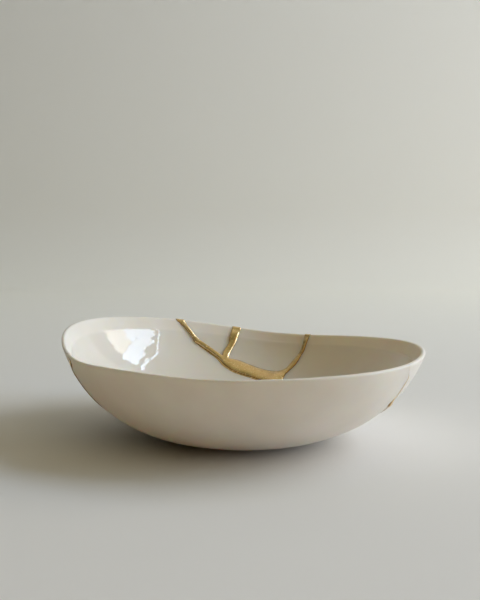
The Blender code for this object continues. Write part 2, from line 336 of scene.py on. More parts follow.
def lay(name, points, faces, material):
    """Makes a piece from a pattern. Each point is a dict of its attributes, and the faces tell points."""
    flat = bpy.data.meshes.new(name)
    flat.from_pydata([(0, 0, 0)] * len(points), [], faces)
    for attribute in points[0]:
        layer = flat.attributes.new(attribute, "FLOAT", "POINT")
        layer.data.foreach_set("value", [point[attribute] for point in points])
    piece = bpy.data.objects.new(name, flat)
    bpy.context.scene.collection.objects.link(piece)
    modifier = piece.modifiers.new("laying", "NODES")
    modifier.node_group = LAYING
    modifier[socket_identifier(LAYING, "Material")] = material
    graph = bpy.context.evaluated_depsgraph_get()
    made = bpy.data.meshes.new_from_object(piece.evaluated_get(graph))
    piece.modifiers.clear()
    piece.data = made

    shape = bmesh.new()
    shape.from_mesh(made)
    open_edges = [edge for edge in shape.edges if len(edge.link_faces) < 2]
    bmesh.ops.holes_fill(shape, edges=open_edges)
    bmesh.ops.recalc_face_normals(shape, faces=shape.faces)
    shape.to_mesh(made)
    left_open = sum(1 for edge in shape.edges if len(edge.link_faces) != 2)
    shape.free()
    made.shade_smooth()
    made.set_sharp_from_angle(angle=SHARP_ANGLE)
    print(f"{name}: {len(made.polygons)} faces, {left_open} open edges")
    return piece


# %% [markdown]
# ## Cracks
#
# The long crack runs from the rim at the back, under the pool of gold, behind the foot and up the right
# side. Three more run from the rim into it. A random fracture would be quicker, but it wouldn't be this
# bowl's. So each is a list of places: degrees round the bowl, the share of the way from foot to lip, and
# the seam's width there as a share of the usual one.

# %% The cracks and their seams
BEAD_WIDTH = 3.4 * MM
LONG_CRACK = (
    (111.5, 1.000, 1.05), (109.0, 0.935, 0.72), (106.9, 0.877, 0.74), (103.7, 0.822, 1.00),
    (100.0, 0.769, 0.95), (96.8, 0.724, 1.25), (89.3, 0.655, 2.45), (79.5, 0.606, 2.40),
    (72.5, 0.582, 1.90), (67.6, 0.535, 1.30), (65.0, 0.450, 1.00), (57.0, 0.360, 0.95),
    (38.0, 0.305, 0.90), (12.0, 0.330, 0.90), (-7.0, 0.430, 0.90), (-19.0, 0.560, 0.85),
    (-27.5, 0.680, 1.10), (-32.5, 0.780, 0.85), (-36.0, 0.880, 0.85), (-38.5, 1.000, 1.00),
)
SHORT_MEETS, CURVED_MEETS, LEFT_MEETS = LONG_CRACK[5], LONG_CRACK[9], LONG_CRACK[11]
SHORT_CRACK = ((90.6, 1.000, 1.40), (91.8, 0.915, 1.40), (92.6, 0.855, 1.30), SHORT_MEETS)
CURVED_CRACK = (
    (62.2, 1.000, 1.10), (62.4, 0.930, 0.78), (62.8, 0.860, 0.72), (64.7, 0.760, 0.90),
    (67.2, 0.660, 0.95), CURVED_MEETS,
)
LEFT_CRACK = (
    (194.5, 1.000, 1.00), (191.2, 0.930, 0.85), (190.2, 0.865, 0.85), (191.8, 0.795, 0.85),
    (193.8, 0.720, 0.85), (193.2, 0.630, 0.85), (188.0, 0.530, 0.90), (172.0, 0.400, 0.90),
    (146.0, 0.320, 0.90), (118.0, 0.300, 0.90), (88.0, 0.295, 0.90), (67.0, 0.315, 0.90), LEFT_MEETS,
)
CRACKS = (LONG_CRACK, SHORT_CRACK, CURVED_CRACK, LEFT_CRACK)
STATION_STEP = 0.7 * MM
FLAT_WALL = wall_run(bowl, 0.5)[2]
SAME_SHARE = 1e-5


def flat_place(angle, share):
    """A point of the flat pattern: the wall laid out flat round the foot."""
    reach = bowl.foot_radius + share * FLAT_WALL
    return Vector((reach * math.cos(angle), reach * math.sin(angle)))


def wall_place(point):
    """Angle, share and centre of a point of the flat pattern."""
    reach = point.length
    share = max(reach - bowl.foot_radius, 0) / FLAT_WALL
    share = 1.0 if abs(share - 1) < SAME_SHARE else share
    return math.atan2(point.y, point.x), share, min(reach / bowl.foot_radius, 1)


RIM_REACH = flat_place(0, 1).length


def smooth_value(before, start, end, after, part):
    """A Catmull-Rom curve's value between start and end."""
    return 0.5 * (
        2 * start
        + (end - before) * part
        + (2 * before - 5 * start + 4 * end - after) * part ** 2
        + (3 * start - before - 3 * end + after) * part ** 3
    )


def smooth_line(points, step):
    """Places along a smooth curve through points, about step apart on the flat pattern. The first two
    numbers of each are degrees and share; any others come along."""
    ends = [points[0]] + list(points) + [points[-1]]
    line = []
    for before, start, end, after in zip(ends, ends[1:], ends[2:], ends[3:]):
        first = flat_place(math.radians(start[0]), start[1])
        last = flat_place(math.radians(end[0]), end[1])
        count = max(1, round((last - first).length / step))
        for index in range(count):
            line.append(tuple(smooth_value(*four, index / count) for four in zip(before, start, end, after)))
    line.append(tuple(points[-1]))
    return line


print("the long crack is", round(len(smooth_line(LONG_CRACK, MM))), "mm long")

# %% [markdown]
# ## The sherds
#
# The broken bowl is one flat disc of points, cut by the cracks. Cuts with a Boolean modifier would part
# it as well, but they leave long thin faces, which show in a glossy glaze. A constrained Delaunay
# triangulation keeps the cracks as edges among even triangles, and a walk over them that never steps
# across a crack finds each sherd. The inside is dipped in clear glaze up to a wandering line below the
# lip, so two rings of points follow that line, and the glaze gets its own small thickness.

# %% The disc and its cracks
GRAIN = 1.3 * MM
GLAZE_DEPTH = 0.04 * MM
GLAZE_EDGE = 0.8 * MM
GLAZE_LINE = 0.921
GLAZE_WANDER = 0.007
GLAZE_WAVES = 1.7
GLAZE_SLICE = 0.3
LIP_ROUNDS = 8
FEWEST_IN_RING = 6
WELD = 1e-7


def glaze_line(angle):
    """The share of the wall at which the glaze ends."""
    around = Vector((math.cos(angle), math.sin(angle), GLAZE_SLICE)) * GLAZE_WAVES
    return GLAZE_LINE + GLAZE_WANDER * noise.noise(around)


def crowd(places):
    """A tree of places, to ask how near the next one is."""
    tree = kdtree.KDTree(len(places))
    for index, place in enumerate(places):
        tree.insert(place.to_3d(), index)
    tree.balance()
    return tree


def distance_to(tree, place):
    return tree.find(place.to_3d())[2]


def away_from(trees, places, distance):
    """The places that are farther than distance from all that the trees hold."""
    return [place for place in places if all(distance_to(tree, place) > distance for tree in trees)]


def ring(reach):
    """Places round the disc, a grain apart."""
    count = max(FEWEST_IN_RING, round(math.tau * reach / GRAIN))
    angles = [math.tau * index / count for index in range(count)]
    return [Vector((reach * math.cos(angle), reach * math.sin(angle))) for angle in angles]


def broken_disc():
    """The triangles of the disc, the points they join, and the edges that are cracks."""
    places, edges = [], []
    for crack in CRACKS:
        line = [flat_place(math.radians(spot[0]), spot[1]) for spot in smooth_line(crack, STATION_STEP)]
        edges += [(len(places) + index, len(places) + index + 1) for index in range(len(line) - 1)]
        places += line
    cracks = crowd(places)
    count = round(math.tau * RIM_REACH / GRAIN)
    brink = []
    for index in range(count):
        angle = math.tau * index / count
        for side in (-1, 1):
            brink.append(flat_place(angle, glaze_line(angle) + side * GLAZE_EDGE / FLAT_WALL))
    brink = away_from([cracks], brink, GRAIN / 3)
    steps = round(RIM_REACH / GRAIN)
    fill = [Vector((0, 0))]
    for step in range(1, steps):
        fill += ring(RIM_REACH * step / steps)
    fill = away_from([cracks, crowd(brink)], fill, GRAIN / 2)
    lip = away_from([cracks], ring(RIM_REACH), GRAIN / 2)
    result = delaunay_2d_cdt(places + brink + fill + lip, edges, [], 0, WELD)
    points, lines, triangles, _, line_sources, _ = result
    broken = {frozenset(line) for line, source in zip(lines, line_sources) if source}
    return points, triangles, broken


disc_points, disc_triangles, crack_edges = broken_disc()
print("the disc has", len(disc_triangles), "triangles and", len(crack_edges), "crack edges")


# %% Walking out the sherds
def edges_of(triangle):
    return [(triangle[index], triangle[(index + 1) % len(triangle)]) for index in range(len(triangle))]


def middle_of(points, corners):
    return sum((points[corner] for corner in corners), Vector((0, 0))) / len(corners)


def walk_from(start, neighbours):
    """All the triangles that can be reached without stepping over a crack."""
    reached = {start}
    front = [start]
    while front:
        for other in neighbours[front.pop()]:
            if other not in reached:
                reached.add(other)
                front.append(other)
    return reached


def sherd_triangles(seeds):
    """The triangles of each sherd. A seed is a place on it, in degrees and share."""
    sides = {}
    for index, triangle in enumerate(disc_triangles):
        for edge in edges_of(triangle):
            sides.setdefault(frozenset(edge), []).append(index)
    neighbours = [[] for _ in disc_triangles]
    for edge, owners in sides.items():
        if len(owners) == 2 and edge not in crack_edges:
            neighbours[owners[0]].append(owners[1])
            neighbours[owners[1]].append(owners[0])
    tree = crowd([middle_of(disc_points, triangle) for triangle in disc_triangles])
    found = {}
    for name, (degrees, share) in seeds.items():
        start = tree.find(flat_place(math.radians(degrees), share).to_3d())[1]
        found[name] = [disc_triangles[index] for index in walk_from(start, neighbours)]
    return found


SHERDS = {
    "sherd_front_and_foot": (-100.0, 0.5),
    "sherd_back_left": (150.0, 0.8),
    "sherd_back_right": (15.0, 0.8),
    "sherd_rim_small": (101.0, 0.95),
    "sherd_rim_middle": (77.0, 0.85),
}
sherds = sherd_triangles(SHERDS)
print({name: len(triangles) for name, triangles in sherds.items()})


# %% [markdown]
# ## From a flat sherd to a thick one
#
# The same triangles are used twice, once for the inner face and once for the outer one. The open edges
# between them become the broken faces, or the round lip where the pattern ends at the rim. Solidify
# would thicken a sheet with less code, but here the wall thins on its way up, and the lip is round.

# %% Thickening
class Pattern:
    """Points with attributes, each made once, and the faces between them."""

    def __init__(self):
        self.points = []
        self.faces = []
        self.known = {}

    def point(self, key, **attributes):
        if key not in self.known:
            self.known[key] = len(self.points)
            self.points.append(attributes)
        return self.known[key]


def outline(triangles):
    """The directed edges that only one triangle uses."""
    edges = {edge for triangle in triangles for edge in edges_of(triangle)}
    return [edge for edge in edges if edge[::-1] not in edges]


def wall_point(pattern, corner, step):
    """A corner of the disc on the inner face (step 0), the outer face (LIP_ROUNDS) or round the lip."""
    angle, share, centre = wall_place(disc_points[corner])
    over = 1 - step / LIP_ROUNDS
    above = (glaze_line(angle) - share) * FLAT_WALL / GLAZE_EDGE
    glazed = min(max(0.5 + above / 2, 0), 1) if step == 0 else 0
    return pattern.point((corner, step), angle=angle, share=share, centre=centre, over=over,
                         proud=glazed * GLAZE_DEPTH, glazed=glazed)


def thick_sherd(triangles):
    """The closed pattern of one sherd."""
    pattern = Pattern()
    for triangle in triangles:
        pattern.faces.append([wall_point(pattern, corner, 0) for corner in triangle])
        pattern.faces.append([wall_point(pattern, corner, LIP_ROUNDS) for corner in reversed(triangle)])
    for start, end in outline(triangles):
        at_lip = wall_place(disc_points[start])[1] == 1 and wall_place(disc_points[end])[1] == 1
        steps = range(LIP_ROUNDS + 1) if at_lip else (0, LIP_ROUNDS)
        for step, following in zip(steps, list(steps)[1:]):
            pattern.faces.append([
                wall_point(pattern, end, step), wall_point(pattern, start, step),
                wall_point(pattern, start, following), wall_point(pattern, end, following)])
    return pattern


thick = {name: thick_sherd(triangles) for name, triangles in sherds.items()}
print("points in all:", sum(len(pattern.points) for pattern in thick.values()))

# %% [markdown]
# ## Porcelain
#
# Bare porcelain scatters light softly and is a little uneven in tone. It is so thin here that some light
# passes through the wall, which Subsurface does. The clear glaze inside could be a material of its own,
# but it ends in a soft line, so one material blends both by the pattern's glazed attribute: the same body
# colour, with a smooth coat over it. Both get a very fine relief, and a few tiny specks of iron that
# burned out in the kiln. Scales such as CLOUDS tell about how many patches fit into a metre.

# %% The porcelain's finish
BARE_WHITE = (0.815, 0.775, 0.71, 1)
BARE_SHADE = (0.77, 0.725, 0.655, 1)
GLAZED_WHITE = (0.79, 0.755, 0.685, 1)
GLAZED_SHADE = (0.765, 0.725, 0.65, 1)
SPECK = (0.30, 0.24, 0.17, 1)
CLOUDS, GRAINS, RIPPLES, FLOW = 45.0, 1400.0, 160.0, 95.0
SPECK_CELLS, SPECK_PLACES = 130.0, 75.0
RELIEF_DISTANCE = 1 * MM
PORCELAIN_GLOSS = {
    "Coat Roughness": 0.015, "Coat IOR": 1.65, "Specular IOR Level": 0.35,
    "Subsurface Weight": 0.50, "Subsurface Radius": (1.0, 0.70, 0.42), "Subsurface Scale": 5 * MM,
}


def surface(tree):
    """The Principled shader of a new material."""
    return next(item for item in tree.nodes if item.type == "BSDF_PRINCIPLED")


def feed(tree, shader, name, value):
    """Gives one socket of a shader a link or a plain value."""
    if isinstance(value, Term):
        tree.links.new(value.socket, shader.inputs[name])
    else:
        shader.inputs[name].default_value = value


def new_material(name):
    material = bpy.data.materials.new(name)
    material.use_nodes = True
    return material, material.node_tree, surface(material.node_tree)


def noise_at(tree, place, scale, detail=2.0):
    return node(tree, "ShaderNodeTexNoise", {}, {"Vector": place, "Scale": scale, "Detail": detail})


def ramp(value, *stops):
    return node(value.tree, "ShaderNodeValToRGB", {"stops": stops}, {"Fac": value})


def porcelain():
    material, tree, shader = new_material("porcelain")
    place = node(tree, "ShaderNodeTexCoord", output=3)
    glazed = node(tree, "ShaderNodeAttribute", {"attribute_name": "glazed"}, output=2)
    cloudy = ramp(noise_at(tree, place, CLOUDS), (0.3, 0.0), (0.7, 1.0))
    grain = noise_at(tree, place, GRAINS, 3.0)
    soft = noise_at(tree, place, RIPPLES)
    flow = noise_at(tree, place, FLOW, 1.0)
    cells = node(tree, "ShaderNodeTexVoronoi", {}, {"Vector": place, "Scale": SPECK_CELLS})
    speck = ramp(cells, (0.0, 1.0), (0.035, 1.0), (0.06, 0.0))
    rare = ramp(noise_at(tree, place, SPECK_PLACES), (0.66, 0.0), (0.70, 1.0))

    bare = mix(cloudy, BARE_WHITE, BARE_SHADE)
    under_glaze = mix(cloudy, GLAZED_WHITE, GLAZED_SHADE)
    body = mix(glazed, bare, under_glaze)
    feed(tree, shader, "Base Color", mix(speck * rare * 0.5, body, SPECK))
    feed(tree, shader, "Roughness", 0.72 - 0.12 * soft - 0.17 * glazed)
    feed(tree, shader, "Coat Weight", glazed)
    for socket, value in PORCELAIN_GLOSS.items():
        feed(tree, shader, socket, value)
    relief = grain * (1 - glazed) * 0.02 + soft * 0.03 + flow * glazed * 0.12
    bump = {"Strength": 1.0, "Distance": RELIEF_DISTANCE, "Height": relief}
    feed(tree, shader, "Normal", node(tree, "ShaderNodeBump", {}, bump))
    return material


PORCELAIN = porcelain()
for name, pattern in thick.items():
    piece = lay(name.replace("sherd", "porcelain"), pattern.points, pattern.faces, PORCELAIN)
    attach(piece, "root")
    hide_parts(name)

# %% [markdown]
# ## Gold seams
#
# Each seam is a strip of lacquer between two edges. Curves with a round bevel are the usual way to draw
# such a bead, but they would cross each other where seams meet, and a brush never runs that even. So the
# edges of the seams that show inside are drawn point by point, and the others follow the crack with a
# slight wobble. An outer seam is as wide as the inner one at the lip, and soon narrower.

# %% The edges of the seams that show inside
UPPER_EDGE = (
    (109.9, 1.000), (107.4, 0.918), (105.5, 0.874), (101.8, 0.821), (98.0, 0.769), (95.2, 0.734),
    (89.3, 0.716), (84.8, 0.686), (81.1, 0.664), (77.5, 0.649), (73.8, 0.643), (71.2, 0.647),
    (69.4, 0.661), (68.0, 0.682), (66.6, 0.690),
)
LOWER_EDGE = (
    (113.0, 1.000), (110.5, 0.954), (108.1, 0.878), (107.4, 0.844), (105.4, 0.819), (101.7, 0.767),
    (98.3, 0.717), (96.4, 0.670), (93.0, 0.624), (89.3, 0.595), (84.4, 0.572), (80.5, 0.552),
    (77.2, 0.539), (73.8, 0.522), (70.6, 0.515), (68.4, 0.530),
)
SHORT_LEFT = ((92.2, 1.000), (93.5, 0.910), (94.0, 0.857), (96.4, 0.778), (96.9, 0.745), (97.6, 0.700))
SHORT_RIGHT = ((89.0, 1.000), (90.1, 0.919), (91.0, 0.864), (93.1, 0.784), (93.9, 0.742), (94.6, 0.690))
CURVED_LEFT = (
    (63.4, 1.000), (63.2, 0.929), (63.6, 0.858), (64.6, 0.809), (65.9, 0.759), (67.3, 0.707),
    (69.0, 0.654), (70.6, 0.601), (71.6, 0.560),
)
CURVED_RIGHT = (
    (61.0, 1.000), (61.6, 0.930), (61.9, 0.860), (62.7, 0.812), (63.4, 0.762), (64.4, 0.712),
    (66.2, 0.659), (67.8, 0.606), (69.2, 0.560),
)
ACROSS = 9
OUTER_WIDTH = 1.9 * MM
HAIR = 0.12 * MM
THINNING_LENGTH = 6 * MM
WIDTH_WOBBLE = 0.14
WOBBLE_PATCHES = 170
LEVEL_REACH = 2 * BEAD_WIDTH
POOL_STATIONS = 8
LEFT_END_STATIONS = 3
RIGHT_END_STATIONS = 4


def ease(value, start, end):
    """0 before start, 1 after end, and a smooth step between."""
    part = min(max((value - start) / (end - start), 0), 1)
    return part * part * (3 - 2 * part)


def below_lip(share):
    """How far a share of the wall is from the lip."""
    return (1 - share) * FLAT_WALL


def ripple(place, patches):
    """A smooth chance value from -1 to 1 at a flat place."""
    return noise.noise(place.to_3d() * patches)


def inner_run(crack):
    """Places and widths of a seam on the inner face. It is only a hair wide where it crosses the lip."""
    run = []
    for degrees, share, wide in crack:
        part = ease(below_lip(share), 0, THINNING_LENGTH)
        run.append((degrees, share, HAIR + (wide * BEAD_WIDTH - HAIR) * part))
    return run


def outer_run(crack):
    """The same for the outer face: at the lip as wide as inside, and soon narrower."""
    run = []
    for degrees, share, wide in crack:
        part = ease(below_lip(share), 0, THINNING_LENGTH)
        run.append((degrees, share, wide * BEAD_WIDTH + (OUTER_WIDTH - wide * BEAD_WIDTH) * part))
    return run


OUTER_RIGHT_END = (
    (-27.0, 0.655, 1.9 * MM), (-33.0, 0.722, 2.6 * MM), (-34.0, 0.765, 0.9 * MM), (-34.2, 0.811, 0.8 * MM),
    (-34.8, 0.866, 0.7 * MM), (-35.0, 0.914, 0.5 * MM), (-36.8, 0.955, HAIR), (-38.5, 1.000, HAIR),
)
OUTER_LEFT_END = (
    (196.8, 1.000, HAIR), (197.8, 0.993, 3.2 * MM), (197.6, 0.972, 3.8 * MM), (195.8, 0.942, 2.8 * MM),
    (192.9, 0.905, 2.0 * MM), (190.4, 0.865, 1.7 * MM),
)


def evenly(line, count):
    """The same line with count places, evenly apart on the flat pattern."""
    flats = [flat_place(math.radians(spot[0]), spot[1]) for spot in line]
    lengths = [0.0]
    for first, second in zip(flats, flats[1:]):
        lengths.append(lengths[-1] + (second - first).length)
    places = []
    at = 0
    for index in range(count):
        goal = lengths[-1] * index / (count - 1)
        while at < len(line) - 2 and lengths[at + 1] < goal:
            at += 1
        part = (goal - lengths[at]) / (lengths[at + 1] - lengths[at])
        places.append(flats[at].lerp(flats[at + 1], min(part, 1)))
    return places


def strip_between(left, right):
    """Pairs of flat places, one on each edge."""
    lines = [smooth_line(edge, STATION_STEP) for edge in (left, right)]
    count = max(len(line) for line in lines)
    return list(zip(*(evenly(line, count) for line in lines)))


def on_rim(place):
    return place.normalized() * RIM_REACH


def strip_along(run):
    """Pairs of flat places on both sides of a run of places and widths. They lie square to the run, and
    turn level with the rim where they come near it."""
    line = smooth_line(run, STATION_STEP)
    flats = [flat_place(math.radians(spot[0]), spot[1]) for spot in line]
    pairs = []
    for index, (place, spot) in enumerate(zip(flats, line)):
        ahead = flats[min(index + 1, len(flats) - 1)] - flats[max(index - 1, 0)]
        square = Vector((ahead.y, -ahead.x)).normalized()
        level = Vector((-place.y, place.x)).normalized()
        if level.dot(square) < 0:
            level = -level
        wide = spot[2] * (1 + WIDTH_WOBBLE * ripple(place, WOBBLE_PATCHES))
        side = level.lerp(square, ease(below_lip(spot[1]), 0, LEVEL_REACH)) * wide / 2
        ends = (place + side, place - side)
        pairs.append(tuple(on_rim(end) for end in ends) if spot[1] == 1 else ends)
    return pairs


pool = strip_between(LOWER_EDGE, UPPER_EDGE)
short = strip_between(SHORT_LEFT, SHORT_RIGHT)
curved = strip_between(CURVED_LEFT, CURVED_RIGHT)
inner = [
    pool,
    short,
    curved,
    strip_along(inner_run(LONG_CRACK[POOL_STATIONS:])),
    strip_along(inner_run(LEFT_CRACK)),
]
outer = [
    strip_along(outer_run(LONG_CRACK[:-RIGHT_END_STATIONS]) + list(OUTER_RIGHT_END)),
    strip_along(outer_run(SHORT_CRACK)),
    strip_along(outer_run(CURVED_CRACK)),
    strip_along(list(OUTER_LEFT_END) + outer_run(LEFT_CRACK[LEFT_END_STATIONS:])),
]
for run, at_lip in zip(outer, (pool, short, curved)):
    run[0] = at_lip[0]
print("strips:", [len(strip) for strip in inner], [len(strip) for strip in outer])

# %% [markdown]
# ## A ledge along the pool
#
# Under the first seam and the pool, the lacquer ran over its edge once more and left a thin second bead,
# with a groove between, darkened by the painted shade at the pool's brim. It could be a bump in the
# material, but it shows in the outline of the seam. So it is a narrow strip of its own, which starts just
# inside the pool's lower edge, waves a little and runs out thin at both ends.

# %% The ledge
LEDGE_OUT = 1.20 * MM
LEDGE_IN = 0.10 * MM
LEDGE_FROM, LEDGE_TO = math.radians(107.2), math.radians(77.5)
LEDGE_RUN_OUT = 0.05
LEDGE_THINNEST = 0.25
LEDGE_WAVE = 0.25
LEDGE_PATCHES = 150


def ledge_strip():
    """Pairs of flat places on both edges of the ledge."""
    pairs = []
    for low, high in pool:
        angle = wall_place(low)[0]
        if LEDGE_TO < angle < LEDGE_FROM:
            out = (low - high).normalized()
            ends = ease(LEDGE_FROM - angle, 0, LEDGE_RUN_OUT) * ease(angle - LEDGE_TO, 0, LEDGE_RUN_OUT)
            wide = LEDGE_THINNEST + (1 - LEDGE_THINNEST) * ends
            wave = 1 + LEDGE_WAVE * ripple(low, LEDGE_PATCHES)
            pairs.append((low + out * LEDGE_OUT * wide * wave, low - out * LEDGE_IN))
    return pairs


ledge = ledge_strip()
print("the ledge has", len(ledge), "stations")

# %% [markdown]
# ## Swelling the lacquer
#
# The strips overlap where seams meet. Their outlines go into one triangulation, which keeps only what
# lies inside any of them, so that the gold is one network. Each point then rises with its distance from
# the network's edge, its brim, as a drop does: steep at the brim, and level over the middle. A wide pool
# stands higher than a thin seam, but not in proportion. At a few spots the lacquer ran off or gathered:
# each is told in degrees and share, how far it reaches, and how many times as tall it makes the lacquer.
# The points also keep their distance from the brim in the attribute inside, for the dark edge of the
# gold, which is partly thin powder and partly painted shade for the shadow in the groove along the brim.
# Thin seams and the ledge have no dark edge, and count as deeper.

# %% One sheet of gold for each face
RELIEF = 1.05 * MM
RELIEF_HALF = 1.35 * MM
RELIEF_POWER = 0.30
STEEPEST = 0.80
FULLNESS = 3.2
BRUSH_UNEVEN = 0.10
BRUSH_PATCHES = 260
LIP_FLATTENING = 5 * MM
LIP_RELIEF = 0.28
OUTER_RELIEF = 0.60
LEDGE_RELIEF = 0.65
# Depth added on the ledge, so that the painted shade at the brim of the gold leaves it alone
LEDGE_UNSHADED_DEPTH = 0.60 * MM
SPOTS = (
    ("low end of the pool", 68.5, 0.545, 6 * MM, 0.35),
    ("knob under the lip, left", 197.7, 0.980, 6 * MM, 1.7),
    ("knob low on the right", -33.0, 0.722, 5 * MM, 1.6),
)
SEAM_EDGE = 0.85 * MM
SUNK = 0.05 * MM
SAME_REACH = 1e-6
BRIM_STEP = 0.12 * MM
NEAR_STATIONS = 8
BRIDGE_ROUNDS = 4


def across_places(pair):
    """Places from one edge of a strip to the other, closer together near the edges."""
    left, right = pair
    parts = [(1 - math.cos(math.pi * index / (ACROSS - 1))) / 2 for index in range(ACROSS)]
    places = [left.lerp(right, part) for part in parts]
    if abs(left.length - RIM_REACH) < SAME_REACH:
        places = [on_rim(place) for place in places]
    return places


def outline_loop(number):
    """The points round a strip, given the numbers of its rows."""
    one_side = [row[-1] for row in number[1:-1]]
    other_side = [row[0] for row in number[-2:0:-1]]
    return number[0] + one_side + number[-1][::-1] + other_side


def union_of(strips):
    """The points and triangles inside any strip. No triangle side joins two points of the brim, except
    along the brim."""
    places, loops = [], []
    for strip in strips:
        first = len(places)
        for pair in strip:
            places += across_places(pair)
        number = [[first + step * ACROSS + index for index in range(ACROSS)] for step in range(len(strip))]
        loop = outline_loop(number)
        area = sum(places[a].cross(places[b]) for a, b in zip(loop, loop[1:] + loop[:1]))
        loops.append(loop if area > 0 else loop[::-1])
    for _ in range(BRIDGE_ROUNDS):
        points, _, triangles, _, _, _ = delaunay_2d_cdt(places, [], loops, 1, WELD)
        brim = {frozenset(edge) for edge in outline(triangles)}
        corners = set().union(*brim)
        sides = {frozenset(edge) for triangle in triangles for edge in edges_of(triangle)} - brim
        bridges = [middle_of(points, side) for side in sides if side <= corners]
        if not bridges:
            break
        places += bridges
    return points, triangles


class Relief:
    """How high the lacquer stands over a place of its sheet."""

    def __init__(self, points, brim_edges, strips, scale, unshaded_depth):
        samples = []
        for start, end in brim_edges:
            count = max(1, round((points[end] - points[start]).length / BRIM_STEP))
            samples += [points[start].lerp(points[end], step / count) for step in range(count)]
        self.brim = crowd(samples)
        middles = [(left + right) / 2 for strip in strips for left, right in strip]
        self.halves = [self.from_brim(middle) for middle in middles]
        self.near = crowd(middles)
        self.scale = scale
        self.unshaded_depth = unshaded_depth

    def from_brim(self, place):
        return distance_to(self.brim, place)

    def half_width(self, place):
        """Half the width of the seam there, as the mean of a few stations along it."""
        around = self.near.find_n(place.to_3d(), NEAR_STATIONS)
        return sum(self.halves[index] for _, index, _ in around) / len(around)

    def depth(self, place):
        """How far the place is from the brim, with what makes a thin seam or the ledge count as deeper. It
        sets where the painted shade at the brim of the gold falls.
        """
        return self.from_brim(place) + max(SEAM_EDGE - self.half_width(place), self.unshaded_depth)

    def height(self, place):
        half = self.half_width(place)
        tall = min(STEEPEST * half, RELIEF * (half / RELIEF_HALF) ** RELIEF_POWER)
        for _, degrees, share, reach, factor in SPOTS:
            away = (place - flat_place(math.radians(degrees), share)).length
            tall *= factor + (1 - factor) * ease(away, 0, reach)
        inside = min(self.from_brim(place) / half, 1)
        below = below_lip(wall_place(place)[1])
        side = LIP_RELIEF + (self.scale - LIP_RELIEF) * ease(below, 0, LIP_FLATTENING)
        uneven = 1 + BRUSH_UNEVEN * ripple(place, BRUSH_PATCHES)
        return tall * side * uneven * (1 - (1 - inside) ** FULLNESS) ** (1 / FULLNESS)


def add_sheet(pattern, name, strips, scale, step, unshaded_depth=0):
    """Adds the top and the underside of one sheet, which share the brim."""
    points, triangles = union_of(strips)
    spots = [wall_place(point) for point in points]
    edges = outline(triangles)
    lip_edges = [edge for edge in edges if all(spots[corner][1] == 1 for corner in edge)]
    brim_edges = [edge for edge in edges if edge not in lip_edges]
    brim = {corner for edge in brim_edges for corner in edge}
    relief = Relief(points, brim_edges, strips, scale, unshaded_depth)
    heights = [0.0 if index in brim else relief.height(point) for index, point in enumerate(points)]
    depths = [relief.depth(point) / MM for point in points]
    print(f"{name}: {len(triangles)} triangles, {len(lip_edges)} lip edges, {max(heights) / MM:.2f} mm tall")

    def point_of(corner, layer, step):
        angle, share, centre = spots[corner]
        layer = "brim" if corner in brim else layer
        lift = heights[corner] if layer != "under" else -SUNK
        key = (round(angle, 5), layer, step) if share == 1 else (name, corner, layer)
        return pattern.point(key, angle=angle, share=share, centre=centre, over=1 - step / LIP_ROUNDS,
                             proud=lift, inside=depths[corner])

    for triangle in triangles:
        turned = triangle if step == 0 else triangle[::-1]
        pattern.faces.append([point_of(corner, "top", step) for corner in turned])
        pattern.faces.append([point_of(corner, "under", step) for corner in reversed(turned)])
    return lip_edges, point_of


def gold_pattern():
    """The closed lacquer: a sheet on each face, joined over the lip, and the ledge."""
    pattern = Pattern()
    lip_edges, point_of = add_sheet(pattern, "inner", inner, 1, 0)
    add_sheet(pattern, "outer", outer, OUTER_RELIEF, LIP_ROUNDS)
    for start, end in lip_edges:
        for layer in ("top", "under"):
            for turn in range(LIP_ROUNDS):
                pattern.faces.append([
                    point_of(end, layer, turn), point_of(start, layer, turn),
                    point_of(start, layer, turn + 1), point_of(end, layer, turn + 1)])
    add_sheet(pattern, "ledge", [ledge], LEDGE_RELIEF, 0, LEDGE_UNSHADED_DEPTH)
    return pattern


gold_shape = gold_pattern()
print("gold points:", len(gold_shape.points))

# %% [markdown]
# ## Gold
#
# The seams are lacquer dusted with gold powder and burnished: metal in colour, softer in gloss than a
# ring, and darker at the brim, partly where the powder is thin and partly as a painted shade for the
# shadow in the groove along the edge. A plain metal would look like poured brass, so the gloss changes
# with the strokes of the brush, the powder gives a very fine relief, and a thin coat stands for the
# lacquer that closes it.

# %% The gold's finish
GOLD = (0.82, 0.58, 0.27, 1)
GOLD_LIGHT = (0.92, 0.70, 0.39, 1)
# Dark brown at the brim of the gold: partly thin powder, partly painted shade for the shadow in the groove
# along the edge
GOLD_THIN_BRIM_AND_PAINTED_SHADE = (0.34, 0.19, 0.06, 1)
GOLD_CLOUDS, POWDER, STROKES = 220.0, 3500.0, 700.0
POWDER_DISTANCE = 0.08 * MM


